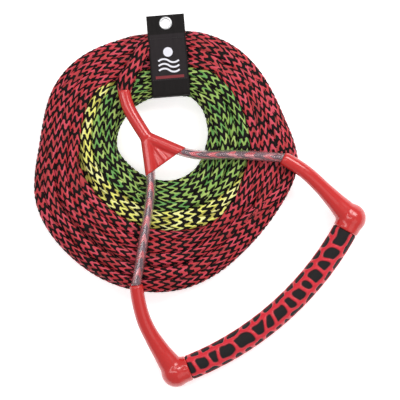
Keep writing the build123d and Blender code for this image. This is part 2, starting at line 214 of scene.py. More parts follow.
# ---- the braid ----


def braid_section(flatness, turn, columns):
    """Points and normals round a flattened rope, two for each stroke, turned a little."""
    fine = np.linspace(0, 2 * math.pi, 721)
    outline = np.stack([np.cos(fine), flatness * np.sin(fine)], 1)
    along = distances(outline)
    share = (np.arange(2 * columns)[None, :] / (2 * columns) + turn[:, None]) % 1
    at = np.interp(share * along[-1], along, fine)
    points = np.stack([np.cos(at), np.sin(at)], -1)
    normals = unit(np.stack([np.cos(at) * flatness, np.sin(at)], -1))
    return points, normals


def ring_places(rows, fine_rows):
    """Where the mesh's rings lie, in rows: four to a row that shows, one to a hidden row."""
    places = []
    for row in range(rows):
        count = 4 if fine_rows[row] else 1
        places += [row + part / count for part in range(count)]
    return np.array(places + [rows])


def twist(ring, step, rng):
    """How far the braid has turned about its middle at each ring, as a share of a turn."""
    turn = np.zeros(len(ring))
    for wave in (0.61, 0.37, 0.23):
        turn += rng.normal(0, 0.028) * np.sin(2 * math.pi * ring * step / wave + rng.uniform(0, 6.28))
    return turn


def row_places(ring, step, rows, columns, colour_share, seed, rng):
    """Where each point lies along the rope, in metres: zigzag rows with uneven edges, the
    coloured rows longer than the black ones."""
    zigzag = np.abs((np.arange(2 * columns) / 2) % 2 - 1) - 0.5
    stretch = 1 + 0.18 * np.sin(2 * math.pi * ring * step / STRETCH_WAVE + seed)
    uneven = rng.normal(0, ROW_UNEVENNESS, (rows + 2, 2 * columns))
    whole = ring.astype(int)
    part = (ring % 1)[:, None]
    share = colour_share + 0.09 * np.sin(2 * math.pi * ring * step / SHARE_WAVE + 2 * seed)
    place = ring + share * np.abs((ring + 1) % 2 - 1)
    place = place[:, None] + uneven[whole] * (1 - part) + uneven[whole + 1] * part
    return place * step + ROW_SHEAR / ROW_PITCH * step * zigzag * stretch[:, None]


def stroke_colours(ring, rows, columns, fine_rows, black, rng):
    """Each face's yarn: rows of mixed shades and of black in turn, with pointed ends painted black as
    painted shade in the creases between the strands.
    """
    odds = np.array([0.5, 0.3, 0.2][:black])
    shades = rng.choice(black, size=(rows, columns), p=odds / odds.sum())
    row = np.minimum(ring.astype(int)[:-1], rows - 1)
    phase = ring[:-1] % 1
    picks = np.repeat(np.where((row % 2 == 0)[:, None], shades[row], black), 2, axis=1)
    column = np.arange(2 * columns)
    leading = (column // 2 + column) % 2 == 0
    shaded_first_end = (phase == 0) & fine_rows[row]
    shaded_last_end = phase > 0.7
    # painted shade: the first and last quarter of each coloured stroke, on one side, takes the black yarn,
    # for the shade in the creases between strands
    picks[shaded_first_end[:, None] & leading[None, :]] = black
    picks[shaded_last_end[:, None] & ~leading[None, :]] = black
    return picks.ravel()


def braided(name, line, across, half_widths, half_thicknesses, yarns, seed, row=ROW_PITCH,
            relief=0.0012, shown=None, columns=COLUMNS, colour_share=COLOUR_SHARE["red"]):
    """A hollow braid along a line: zigzag rows of raised, pointed strokes, coloured and black in turn, the
    strokes' tips painted black as painted shade between strands. Rows that don't show are plain."""
    along = distances(line)
    length = along[-1]
    rows = 2 * int(round(length / row / 2))
    step = length / rows
    flatness = float(np.mean(half_thicknesses) / np.mean(half_widths))
    middles = (np.arange(rows) + 0.5) * step
    fine_rows = np.ones(rows, bool) if shown is None else np.interp(middles, along, shown) > SHOWN
    ring = ring_places(rows, fine_rows)

    rng = np.random.default_rng(seed)
    points, normals = braid_section(flatness, twist(ring, step, rng), columns)
    at = np.clip(row_places(ring, step, rows, columns, colour_share, seed, rng), 0, length)

    column = np.arange(2 * columns)
    phase = ring % 1
    crown = np.where(phase == 0, 0.0, np.sin(math.pi * phase) ** 0.5)
    ridge = np.where(column % 2 == 1, 1.0, 0.2)
    lift = relief * (crown[:, None] * ridge[None, :] - 0.6)

    centre = sample(line, along, at)
    heading = unit(np.gradient(line, axis=0))
    side = sample(across, along, at)
    forward = sample(heading, along, at)
    side = unit(side - forward * np.sum(side * forward, -1, keepdims=True))
    up = np.cross(forward, side)
    wide = np.interp(at, along, half_widths)
    thick = np.interp(at, along, half_thicknesses)
    verts = (centre
             + side * (points[..., 0] * wide + normals[..., 0] * lift)[..., None]
             + up * (points[..., 1] * thick + normals[..., 1] * lift)[..., None])

    black = len(yarns) - 1
    picks = stroke_colours(ring, rows, columns, fine_rows, black, rng)
    flow = np.stack([np.broadcast_to(column / 2.0, at.shape), ring[:, None] + 0 * at], -1)
    faces = tube_faces(*at.shape)
    faces[-2:] = [end[::-1] for end in faces[-2:]]      # both ends face outward
    return mesh_piece(name, verts.reshape(-1, 3), faces, yarns,
                      np.append(picks, [black, black]), flow.reshape(-1, 2))


# ---- materials ----


def material(name, colour, roughness, settings=()):
    """A new material, its Principled shader and its node tree."""
    made = bpy.data.materials.new(name)
    made.use_nodes = True
    shader = made.node_tree.nodes["Principled BSDF"]
    shader.inputs["Base Color"].default_value = (*colour, 1)
    shader.inputs["Roughness"].default_value = roughness
    for name, value in dict(settings).items():
        shader.inputs[name].default_value = value
    return made, shader, made.node_tree


def bump(tree, shader, height, strength, distance):
    """Join a height to a shader's normal."""
    node = tree.nodes.new("ShaderNodeBump")
    node.inputs["Strength"].default_value = strength
    node.inputs["Distance"].default_value = distance
    tree.links.new(height, node.inputs["Height"])
    tree.links.new(node.outputs["Normal"], shader.inputs["Normal"])


def noise(tree, scale, detail=3.0, stretch=None, coordinates="Object"):
    """A noise texture's value, stretched if asked."""
    place = tree.nodes.new("ShaderNodeTexCoord")
    node = tree.nodes.new("ShaderNodeTexNoise")
    node.inputs["Scale"].default_value = scale
    node.inputs["Detail"].default_value = detail
    source = place.outputs[coordinates]
    if stretch:
        mapping = tree.nodes.new("ShaderNodeMapping")
        mapping.inputs["Scale"].default_value = stretch
        tree.links.new(source, mapping.inputs["Vector"])
        source = mapping.outputs["Vector"]
    tree.links.new(source, node.inputs["Vector"])
    return node.outputs["Fac"]


def spread(tree, value, low, high):
    """Map a value from 0..1 to low..high."""
    node = tree.nodes.new("ShaderNodeMapRange")
    node.inputs["To Min"].default_value = low
    node.inputs["To Max"].default_value = high
    tree.links.new(value, node.inputs["Value"])
    return node.outputs["Result"]


def mixed(tree, first, second, factor, blend="MIX"):
    """A mix of two colours, each a value or another node's result."""
    node = tree.nodes.new("ShaderNodeMix")
    node.data_type = "RGBA"
    node.blend_type = blend
    for socket, colour in (("A", first), ("B", second)):
        if isinstance(colour, tuple):
            node.inputs[socket].default_value = (*colour, 1)
        else:
            tree.links.new(colour, node.inputs[socket])
    tree.links.new(factor, node.inputs["Factor"])
    return node.outputs["Result"]


def marked(tree, name):
    """A value stored on a piece's vertices."""
    node = tree.nodes.new("ShaderNodeAttribute")
    node.attribute_name = name
    return node.outputs["Fac"]


def plain(name, colour, roughness, grain_scale, metallic=0.0):
    """A simple finish whose shine and surface vary a little."""
    made, shader, tree = material(name, colour, roughness, {"Metallic": metallic})
    grain = noise(tree, grain_scale, 3.0)
    tree.links.new(spread(tree, grain, roughness - 0.08, roughness + 0.12), shader.inputs["Roughness"])
    bump(tree, shader, grain, 0.2, 0.0002)
    return made


def yarn(name, colour, sheen=0.12, gloss=0.42, shine=0.45):
    """Braided polyethylene: fine filaments along each stroke, and a soft shine."""
    made, shader, tree = material(name, colour, gloss, {
        "Sheen Weight": sheen, "Sheen Roughness": 0.4, "Specular IOR Level": shine})
    filaments = noise(tree, 6.0, 3.0, (9.0, 1.0, 1.0), "UV")
    bump(tree, shader, filaments, 0.5, 0.0004)
    tree.links.new(spread(tree, filaments, gloss - 0.12, gloss + 0.2), shader.inputs["Roughness"])
    return made


YARN_BLACK = yarn("yarn_black", (0.008, 0.005, 0.005), sheen=0.0, gloss=0.55, shine=0.12)
RED_YARNS = [
    yarn("yarn_red", (0.56, 0.030, 0.042)),
    yarn("yarn_rose", (0.66, 0.055, 0.092)),
    yarn("yarn_deep_red", (0.40, 0.022, 0.028)),
    YARN_BLACK,
]
YELLOW_YARNS = [
    yarn("yarn_yellow", (0.84, 0.82, 0.17)),
    yarn("yarn_pale_yellow", (0.90, 0.89, 0.34)),
    yarn("yarn_olive", (0.50, 0.45, 0.07)),
    YARN_BLACK,
]
GREEN_YARNS = [
    yarn("yarn_lime", (0.31, 0.50, 0.10)),
    yarn("yarn_green", (0.13, 0.36, 0.07)),
    yarn("yarn_pale_lime", (0.45, 0.60, 0.15)),
    YARN_BLACK,
]
# painted light: the core yarns are the rope's reds painted lighter and its black painted as slate, for the
# haze of light the clear vinyl casts over them
CORE_YARNS = [
    yarn("core_rose", (0.88, 0.11, 0.15)),
    yarn("core_pink", (0.90, 0.34, 0.38)),
    yarn("core_red", (0.72, 0.03, 0.06)),
    yarn("core_black_painted_hazy", (0.16, 0.08, 0.12)),
]


# ---- the coil ----

STATIONS = 36              # points round each turn
TURNS = {"red": 16, "yellow": 7, "green": 10}
EYE_START = 5              # the green rope's last turn leaves for the boat's eye here
COIL_CENTRE = Vector((-0.098, 0.085, 0))
COIL_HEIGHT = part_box("red_rope_coil")[1].z
SHOULDER = 0.013           # rounding of the coil's top edges
EYE_MIDDLE = Vector((-0.0275, 0.088, 0.0052))
EYE_TURN = math.radians(84)
EYE_STRAIGHT = 0.0715      # between the middles of the eye's round ends
EYE_HALF_WIDTH = 0.00725
PARKED = 1.0               # metres from the centre, for a place with no rope in it
LANES = {"red": 3.2, "yellow": 1.4, "green": 2.0}   # turns side by side in one layer
HELD_HALF_WIDTH = 0.046    # how far from its middle line the keeper squeezes the coil
HOLD_FADE = 0.020
WANDER = 0.0022            # how far a turn wanders in and out
FILL = 0.87                # share of the coil's section that the ropes fill
PUSH = 0.32                # how strongly neighbours push each other at each step
SETTLING_STEPS = 300
YELLOW_SINK = 0.0085       # how far the yellow rope lies under its neighbours


def station_angles():
    """The angles of the stations, clockwise from the keeper's middle."""
    outward = KEEPER_EDGE + Vector((-math.sin(KEEPER_TURN), math.cos(KEEPER_TURN), 0)) * 0.040
    start = math.atan2(outward.y - COIL_CENTRE.y, outward.x - COIL_CENTRE.x)
    return start - 2 * math.pi * np.arange(STATIONS) / STATIONS


def wall_radii(colour, outside):
    """How far a coil solid's wall stands from the coil's centre at each station."""
    shape = bmesh.new()
    shape.from_mesh(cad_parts[f"{colour}_rope_coil"].data)
    tree = BVHTree.FromBMesh(shape)
    shape.free()
    origin = Vector((COIL_CENTRE.x, COIL_CENTRE.y, COIL_HEIGHT / 2))
    radii = []
    for angle in ANGLES:
        direction = Vector((math.cos(angle), math.sin(angle), 0))
        if outside:
            hit = tree.ray_cast(origin + direction * 0.5, -direction)[0]
        else:
            hit = tree.ray_cast(origin, direction)[0]
        radii.append((hit - origin).length)
    return np.array(radii)


ANGLES = station_angles()
HOLE = wall_radii("green", False)
GREEN_EDGE = wall_radii("green", True)
YELLOW_EDGE = wall_radii("yellow", True)
RIM = wall_radii("red", True)
RINGS = {"red": (RIM, YELLOW_EDGE), "yellow": (YELLOW_EDGE, GREEN_EDGE), "green": (GREEN_EDGE, HOLE)}


def keeper_places(x, y):
    """How far places are across the keeper's middle line, and outward from its edge."""
    x, y = x - KEEPER_EDGE.x, y - KEEPER_EDGE.y
    across = x * math.cos(KEEPER_TURN) + y * math.sin(KEEPER_TURN)
    return across, y * math.cos(KEEPER_TURN) - x * math.sin(KEEPER_TURN)


def keeper_hold(radii, angles):
    """How firmly the keeper squeezes the coil, from 0 to 1, at points about the centre."""
    across, outward = keeper_places(COIL_CENTRE.x + radii * np.cos(angles),
                                    COIL_CENTRE.y + radii * np.sin(angles))
    near = np.clip((HELD_HALF_WIDTH - np.abs(across)) / HOLD_FADE, 0, 1)
    near = near * near * (3 - 2 * near)
    return np.where(outward > -0.01, near, 0)


def first_cells(colour, count):
    """Each turn's place across and up its own ring, wound to and fro from the top."""
    cells = []
    for turn in range(count):
        layer, lane = divmod((turn + 0.5) / LANES[colour], 1)
        inward = lane if layer % 2 == 0 else 1 - lane
        cells.append((inward, 1 - (turn + 0.5) / count))
    cells = np.array(cells)
    if colour == "yellow":
        cells[:, 1] = 1 - cells[:, 1]
    return cells


def wound(cells):
    """Cells for every station: each turn slides from its own cell to the next one's."""
    turns = np.arange(len(cells) * STATIONS) / STATIONS
    return np.stack([np.interp(turns, np.arange(len(cells)), cells[:, axis]) for axis in (0, 1)], -1)


def yellow_hidden():
    """Where the yellow rope lies under its neighbours: the coil's right side and its top."""
    after_keeper = (ANGLES[0] - ANGLES) / (2 * math.pi)
    right_side = np.clip((0.375 - after_keeper) / 0.05, 0, 1)
    last_stretch = np.clip((after_keeper - 0.84) / 0.04, 0, 1)
    return np.maximum(right_side, last_stretch)


def eye_side(offset):
    """How far one side of the boat's eye is from the centre, where a station meets it."""
    reach = (EYE_MIDDLE.x + offset - COIL_CENTRE.x) / np.maximum(np.cos(ANGLES), 0.2)
    near = np.abs(np.angle(np.exp(1j * ANGLES))) < 0.62
    return np.where(near, reach, PARKED)


def first_places():
    """Every turn's first place, its colour, and which places the boat's eye fixes."""
    radius, level, ring_of = [], [], []
    for colour, count in TURNS.items():
        cells = wound(first_cells(colour, count)).reshape(count, STATIONS, 2)
        outer, inner = RINGS[colour]
        radius.append(outer - (outer - inner) * (0.12 + 0.76 * cells[..., 0]))
        level.append(0.004 + (COIL_HEIGHT - 0.008) * cells[..., 1])
        ring_of += [colour] * count
    radius = np.concatenate(radius + [eye_side(EYE_HALF_WIDTH)[None, :]])
    level = np.concatenate(level + [np.full((1, STATIONS), EYE_MIDDLE.z)])
    fixed = np.zeros(radius.shape, bool)
    fixed[-1] = True
    fixed[-2, EYE_START + 1:] = True
    radius[-2, EYE_START + 1:] = eye_side(-EYE_HALF_WIDTH)[EYE_START + 1:]
    level[-2, EYE_START + 1:] = EYE_MIDDLE.z
    return radius, level, np.array(ring_of + ["eye"]), fixed


def wandering(count):
    """How far each turn strays in and out on its way round."""
    rng = np.random.default_rng(7)
    stray = np.zeros((count, STATIONS))
    for wave in (1, 2, 3):
        strength = rng.normal(0, WANDER / wave, (count, 1))
        stray += strength * np.sin(wave * ANGLES[None, :] + rng.uniform(0, 6.28, (count, 1)))
    return stray


def rope_pitches(radius):
    """How far apart neighbours settle, across and up, so that they fill the coil."""
    ropes = (radius < PARKED / 2).sum(0)
    hold = keeper_hold(radius, ANGLES[None, :])
    area = (RIM - HOLE) * (COIL_HEIGHT - 0.003) * (1 - 0.12 * hold.max(0))
    swell = area * FILL / (ropes * math.pi / 4 * ROPE_WIDTH * ROPE_THICKNESS)
    return ROPE_WIDTH * swell ** 0.15, ROPE_THICKNESS * swell ** 0.85


def pushed_apart(radius, level, pitch_across, pitch_up):
    """Places after every turn has pushed its neighbours away once."""
    across = (radius[:, None] - radius[None, :]) / pitch_across
    up = (level[:, None] - level[None, :]) / pitch_up
    apart = np.sqrt(across ** 2 + up ** 2) + 1e-6
    press = np.where(apart < 1, (1 - apart) / apart, 0)
    radius = radius + PUSH * (press * across).sum(1) * pitch_across
    level = level + PUSH * (press * up).sum(1) * pitch_up
    return radius, level + 0.0003 * np.sign(level - 0.5 * COIL_HEIGHT)


def evened(radius, level, ring_of):
    """Places smoothed along each rope."""
    share = (radius - HOLE) / (RIM - HOLE)
    for colour in TURNS:
        chosen = ring_of == colour
        for values in (share, level):
            rope = values[chosen].ravel()
            rope[1:-1] = rope[1:-1] * 0.5 + (rope[:-2] + rope[2:]) * 0.25
            values[chosen] = rope.reshape(-1, STATIONS)
    return HOLE + share * (RIM - HOLE), level


def within_walls(radius, level, ring_of):
    """Places kept in their own ring, above the floor and under the rounded top."""
    is_red, is_yellow, is_green = ((ring_of == colour)[:, None] for colour in TURNS)
    hidden = yellow_hidden()
    hold = keeper_hold(radius, ANGLES[None, :])
    half = ROPE_WIDTH / 2 - 0.001 - 0.0012 * hold
    upper = np.clip((level / COIL_HEIGHT - 0.45) / 0.25, 0, 1)
    red_inner = YELLOW_EDGE - (0.008 * (1 - upper) + 0.017 * hidden * upper)
    green_outer = GREEN_EDGE + 0.006 * (1 - upper) + 0.012 * hidden * upper
    yellow_room = 0.014 * (1 - upper)
    low = np.where(is_red, red_inner, np.where(is_yellow, GREEN_EDGE - yellow_room, HOLE))
    high = np.where(is_green, green_outer, np.where(is_yellow, YELLOW_EDGE + yellow_room, RIM))
    radius = np.clip(radius, np.minimum(low + half, high - half), high - half)

    edge = np.minimum(RIM - radius, radius - HOLE) - half + 0.002
    inside = np.clip(SHOULDER - edge, 0, SHOULDER)
    drop = SHOULDER - np.sqrt(SHOULDER ** 2 - inside ** 2)
    sunk = np.where(is_yellow, YELLOW_SINK * hidden, 0)
    top = COIL_HEIGHT - ROPE_THICKNESS / 2 - drop * 0.6 - 0.0024 * hold - sunk
    bottom = ROPE_THICKNESS / 2 + 0.0008 + 0.0020 * hold + drop * 0.2
    return radius, np.clip(level, bottom, top)


def relaxed_turns():
    """Where every turn of the coil lies: flat ropes that fill the coil's outline.

    The ropes push each other apart and keep their order, between the floor, the walls
    and the rounded shoulders. Under the keeper they are squeezed."""
    first_radius, first_level, ring_of, fixed = first_places()
    radius = np.where(fixed, first_radius, first_radius + wandering(len(ring_of)))
    level = first_level
    pitches = rope_pitches(radius)
    for _ in range(SETTLING_STEPS):
        radius, level = pushed_apart(radius, level, *pitches)
        radius, level = evened(radius, level, ring_of)
        radius, level = within_walls(radius, level, ring_of)
        radius = np.where(fixed, first_radius, radius)
        level = np.where(fixed, first_level, level)
    return radius, level, ring_of


def seen_turns(radius, level):
    """Which places show: no rope above them, or none beyond them, or none inside them."""
    across = radius[None, :] - radius[:, None]
    up = level[None, :] - level[:, None]
    covered = ((np.abs(across) < 0.008) & (up > 0.003)).any(1)
    outside = ((across > 0.005) & (np.abs(up) < 0.004) & (across < 0.05)).any(1)
    inside = ((across < -0.005) & (np.abs(up) < 0.004) & (across > -0.05)).any(1)
    return ~(covered & outside & inside)


COIL_RADII, COIL_LEVELS, COIL_RINGS = relaxed_turns()
COIL_SEEN = seen_turns(COIL_RADII, COIL_LEVELS)


def coil_points(colour):
    """The route of one colour's rope round the coil, and which of its points show."""
    chosen = COIL_RINGS == colour
    radii = COIL_RADII[chosen]
    angles = np.broadcast_to(ANGLES, radii.shape)
    x = COIL_CENTRE.x + radii * np.cos(angles)
    y = COIL_CENTRE.y + radii * np.sin(angles)
    points = np.stack([x, y, COIL_LEVELS[chosen]], -1).reshape(-1, 3)
    seen = COIL_SEEN[chosen].ravel()
    if colour == "green":
        keep = (TURNS["green"] - 1) * STATIONS + EYE_START + 1
        eye = eye_points()
        return np.concatenate([points[:keep], eye]), np.concatenate([seen[:keep], np.ones(len(eye), bool)])
    return points, seen


def eye_points():
    """The boat's eye: down its outer side, round the end and back up to its splice."""
    along = Vector((math.cos(EYE_TURN), math.sin(EYE_TURN), 0))
    out = Vector((math.sin(EYE_TURN), -math.cos(EYE_TURN), 0))
    points = []
    for share in np.linspace(0.5, -0.5, 6):
        points.append(EYE_MIDDLE + along * share * EYE_STRAIGHT + out * EYE_HALF_WIDTH)
    for angle in np.linspace(0, math.pi, 6)[1:-1]:
        turned = out * math.cos(angle) - along * math.sin(angle)
        points.append(EYE_MIDDLE - along * EYE_STRAIGHT / 2 + turned * EYE_HALF_WIDTH)
    for share in np.linspace(-0.5, 0.42, 6):
        points.append(EYE_MIDDLE + along * share * EYE_STRAIGHT - out * EYE_HALF_WIDTH)
    points.append(EYE_MIDDLE + along * 0.5 * EYE_STRAIGHT + out * 0.001)
    return np.array([list(point) for point in points])


def eye_share(line):
    """How far the green rope has narrowed to its eye, from 0 on the coil to 1."""
    from_end = distances(line[::-1])[::-1]
    eye_length = distances(eye_points())[-1]
    return np.clip((eye_length + 0.03 - from_end) / 0.03, 0, 1)


def from_centre(line):
    """Radius and angle of a line's points about the coil's centre."""
    offset = line[:, :2] - np.array(COIL_CENTRE[:2])
    return np.linalg.norm(offset, axis=1), np.arctan2(offset[:, 1], offset[:, 0])


def lean(line, seed):
    """Which way a coiled rope's flat side faces: level, tipped over at the coil's edges."""
    radius, angle = from_centre(line)
    outward = np.stack([np.cos(angle), np.sin(angle), 0 * angle], -1)
    rim, hole = (np.interp(angle, ANGLES, wall, period=2 * math.pi) for wall in (RIM, HOLE))
    upper = np.clip((line[:, 2] / COIL_HEIGHT - 0.35) / 0.5, 0, 1)
    over_rim = np.clip(1 - (rim - radius - 0.006) / 0.014, 0, 1)
    over_hole = np.clip(1 - (radius - hole - 0.006) / 0.012, 0, 1)
    rng = np.random.default_rng(seed)
    along = distances(line)
    tip = np.zeros(len(line))
    for wave in (0.35, 0.21, 0.12):
        tip += rng.normal(0, 0.09) * np.sin(2 * math.pi * along / wave + rng.uniform(0, 6.28))
    tip += upper * (0.55 * over_hole - 0.6 * over_rim)
    return outward * np.cos(tip)[:, None] + np.array([0, 0, 1.0]) * np.sin(tip)[:, None]


def coil_rope(colour, yarns, seed, *more_nodes):
    """One colour's rope, wound round the coil."""
    points, seen = coil_points(colour)
    line = smooth_route(points, 8)
    seen = np.interp(np.linspace(0, 1, len(line)), np.linspace(0, 1, len(points)), seen)
    radius, angle = from_centre(line)
    hold = keeper_hold(radius, angle)
    in_eye = np.zeros(len(line)) if colour != "green" else eye_share(line)
    wide = ROPE_WIDTH / 2 * (1.06 - 0.16 * hold) * (1 - 0.42 * in_eye)
    thick = ROPE_THICKNESS / 2 * (1.08 - 0.10 * hold)
    rope = braided(f"{colour}_rope", line, lean(line, seed), wide, thick, yarns, seed, shown=seen,
                   colour_share=COLOUR_SHARE[colour])
    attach(rope, "coil")
    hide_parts(f"{colour}_rope_coil", *more_nodes)
    return rope


coil_rope("red", RED_YARNS, 11)
coil_rope("yellow", YELLOW_YARNS, 12)
coil_rope("green", GREEN_YARNS, 13, "boat_loop")


# ---- the rope to the handle ----


def level_across(line):
    """Level directions at right angles to a line."""
    heading = unit(np.gradient(line, axis=0))
    return unit(np.cross(heading, np.array([0, 0, 1.0])))


def handle_rope():
    """The spliced, thicker stretch from the yoke to the coil's top lane under the keeper."""
    into_coil = Vector(coil_points("red")[0][0])
    into_neck = NECK_TOP + (NECK_BENDS[0] - NECK_TOP).normalized() * 0.006
    route = [into_neck, NECK_TOP, *reversed(HANDLE_ROPE_BENDS), LIFT_POINT,
             Vector((-0.1238, 0.1965, 0.0405)), Vector((-0.113, 0.2010, 0.0335)), into_coil]
    line = smooth_route(route, 16)
    share = distances(line) / distances(line)[-1]
    stops = [0, 0.06, 0.13, 0.3, 0.6, 1]
    wide = np.interp(share, stops, [0.0072, 0.0082, 0.0110, 0.0098, 0.0090, 0.0068])
    thick = np.interp(share, stops, [0.0062, 0.0070, 0.0078, 0.0068, 0.0052, 0.0034])
    rope = braided("handle_rope_piece", line, level_across(line), wide, thick, RED_YARNS, 21,
                   row=0.0088, relief=0.0017, columns=14)
    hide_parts("handle_rope")
    return rope


def rope_turns_at_keeper(rope):
    """Bake the rope's placing into its points; its bend from lying on the coil to following the yoke is in
    its route.
    """
    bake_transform(rope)


rope_turns_at_keeper(handle_rope())


# ---- round and fused shapes ----


def rod(line, radii, sides=32, turn=None):
    """Points and faces of a round bar along a line, with a radius for all of it, for each
    ring, or for each point of each ring."""
    line = np.asarray(line, float)
    radii = np.asarray(radii, float)
    radii = radii if radii.ndim == 2 else np.broadcast_to(radii, len(line))[:, None]
    forward = unit(np.gradient(line, axis=0))
    up = np.array([0, 0, 1.0]) if abs(forward[:, 2]).max() < 0.9 else np.array([0, 1.0, 0])
    side = unit(np.cross(forward, up))
    rise = np.cross(side, forward)
    turn = np.linspace(0, 2 * math.pi, sides, endpoint=False) if turn is None else turn
    ring = side[:, None] * np.cos(turn)[None, :, None] + rise[:, None] * np.sin(turn)[None, :, None]
    points = line[:, None] + ring * radii[..., None]
    return points.reshape(-1, 3), tube_faces(len(line), len(turn))


def ball(centre, radius):
    """Points and faces of a sphere."""
    turn = np.linspace(0.02, math.pi - 0.02, 24)
    line = np.array(centre)[None, :] - np.cos(turn)[:, None] * np.array([0, 0, radius])
    return rod(line, radius * np.sin(turn))


def slab(outline, low, high):
    """Points and faces of a flat plate from an outline in plan."""
    count = len(outline)
    points = [(*corner[:2], low) for corner in outline] + [(*corner[:2], high) for corner in outline]
    walls = [[i, (i + 1) % count, (i + 1) % count + count, i + count] for i in range(count)]
    return np.array(points), walls + [list(range(count))[::-1], list(range(count, 2 * count))]


def straight(start, end, count=12):
    """Evenly spaced points between two."""
    share = np.linspace(0, 1, count)[:, None]
    return np.array(start)[None, :] * (1 - share) + np.array(end)[None, :] * share


def applied(thing):
    """Apply a piece's modifiers and shade it smooth."""
    bpy.context.view_layer.update()
    shape = thing.evaluated_get(bpy.context.evaluated_depsgraph_get())
    mesh = bpy.data.meshes.new_from_object(shape)
    thing.modifiers.clear()
    mesh.shade_smooth()
    thing.data = mesh
    return thing


def trimmed(points, faces, place, normal):
    """A closed part cut off flat at a plane."""
    shape = bmesh.new()
    corners = [shape.verts.new(point) for point in points]
    for face in faces:
        shape.faces.new([corners[index] for index in face])
    everything = shape.verts[:] + shape.edges[:] + shape.faces[:]
    bmesh.ops.bisect_plane(shape, geom=everything, plane_co=place, plane_no=normal, clear_outer=True)
    bmesh.ops.holes_fill(shape, edges=[edge for edge in shape.edges if edge.is_boundary])
    shape.verts.index_update()
    points = np.array([list(corner.co) for corner in shape.verts])
    faces = [[corner.index for corner in face.verts] for face in shape.faces]
    shape.free()
    return points, faces


def fused(name, parts, skin, voxel=0.0011, softening=8):
    """One moulded shape from overlapping parts, its corners softened."""
    thing = mesh_piece(name, *joined(parts), [skin])
    remesh = thing.modifiers.new("skin", "REMESH")
    remesh.mode = "VOXEL"
    remesh.voxel_size = voxel
    soften = thing.modifiers.new("soften", "SMOOTH")
    soften.factor = 0.5
    soften.iterations = softening
    return applied(thing)


# ---- the yoke ----


def moulded_red():
    """Glossy soft vinyl, with a little unevenness in its shine."""
    made, shader, tree = material("moulded_red", (0.60, 0.017, 0.015), 0.2, {
        "Coat Weight": 0.55, "Coat Roughness": 0.11,
        "Subsurface Weight": 0.06, "Subsurface Radius": (0.004, 0.001, 0.001)})
    blotches = noise(tree, 90.0, 3.0)
    tree.links.new(spread(tree, blotches, 0.18, 0.30), shader.inputs["Roughness"])
    bump(tree, shader, noise(tree, 260.0, 2.0), 0.12, 0.0003)
    return made


MOULDED_RED = moulded_red()
NECK_RADIUS = 0.0080
ARM_RADII = [0.0076, 0.0071]


def yoke():
    """The moulded Y: neck, two arms, and a thin web with two ridges between the arms."""
    neck = smooth_route([NECK_TOP, *NECK_BENDS, JUNCTION])
    left, right = ARM_ENDS["left"], ARM_ENDS["right"]
    parts = [rod(neck, np.linspace(NECK_RADIUS, NECK_RADIUS * 1.05, len(neck))),
             ball(JUNCTION, NECK_RADIUS)]
    edge = (right - left).normalized()
    outward = Vector((edge.y, -edge.x, 0))
    for arm_end in (left, right):
        past_end = arm_end + (arm_end - JUNCTION).normalized() * 0.009
        arm = rod(straight(JUNCTION, past_end), np.linspace(ARM_RADII[0], ARM_RADII[1], 12))
        parts.append(trimmed(*arm, left, outward))
    half_web = 0.0026
    parts.append(slab([JUNCTION, left, right], BRIDLE_HEIGHT - half_web, BRIDLE_HEIGHT + half_web))
    on_web = Vector((0, 0, half_web))
    for share in (0.30, 0.52):
        foot = left.lerp(right, share) - outward * 0.001
        start = JUNCTION.lerp(foot, 0.2)
        parts.append(rod(straight(start + on_web, foot + on_web), np.linspace(0.0012, 0.0022, 12), 12))
    piece = fused("yoke_moulding", parts, MOULDED_RED, 0.0009, 12)
    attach(piece, "bridle")
    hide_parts("bridle_yoke")


yoke()

# ---- hoses and the ropes inside them ----

HOSE_RADIUS = 0.0062
HOSE_BORE = 0.0048
HOSE_SIDES = 28
LEG_ROPE_RADIUS = 0.0043


def clear_vinyl():
    """Clear, faintly pink vinyl with a little haze."""
    made, shader, tree = material("clear_vinyl", (0.99, 0.85, 0.87), 0.06, {
        "Transmission Weight": 0.95, "IOR": 1.40, "Coat Weight": 0.3, "Coat Roughness": 0.08})
    haze = noise(tree, 60.0, 2.0)
    tree.links.new(spread(tree, haze, 0.03, 0.12), shader.inputs["Roughness"])
    return made


CLEAR_VINYL = clear_vinyl()


def leg_line(side):
    """A leg's middle line, from inside the yoke's arm to the boot's tail."""
    arm_end = ARM_ENDS[side]
    outward = (arm_end - JUNCTION).normalized()
    top = TAIL_TOPS[side]
    end = top - (LEG_BENDS[side][-1] - top).normalized() * 0.0035
    route = [arm_end - outward * 0.008, arm_end + outward * 0.006, *LEG_BENDS[side], end]
    return smooth_route(route, 20)


def hose(side):
    """The clear sleeve of one leg, with a wall of even thickness."""
    line = leg_line(side)
    outer = rod(line, HOSE_RADIUS, HOSE_SIDES)[0].reshape(-1, HOSE_SIDES, 3)
    inner = rod(line, HOSE_BORE, HOSE_SIDES)[0].reshape(-1, HOSE_SIDES, 3)
    wall = np.concatenate([outer, inner[::-1]]).reshape(-1, 3)
    faces = hoop_faces(2 * len(line), HOSE_SIDES)
    piece = mesh_piece(f"clear_hose_{side}", wall, faces, [CLEAR_VINYL])
    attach(piece, "bridle")
    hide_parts(f"hose_{side}")


def leg_rope(side, seed):
    """The rope pulled tight inside one hose."""
    line = leg_line(side)
    radius = np.full(len(line), LEG_ROPE_RADIUS)
    rope = braided(f"leg_rope_{side}", line, level_across(line), radius, radius * 0.98, CORE_YARNS, seed,
                   row=0.0115, relief=0.0005, columns=4)
    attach(rope, "bridle")
    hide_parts(f"bridle_rope_{side}")


for leg_seed, leg_side in enumerate(("left", "right")):
    hose(leg_side)
    leg_rope(leg_side, 31 + leg_seed)

# ---- the bar: grip and boots ----

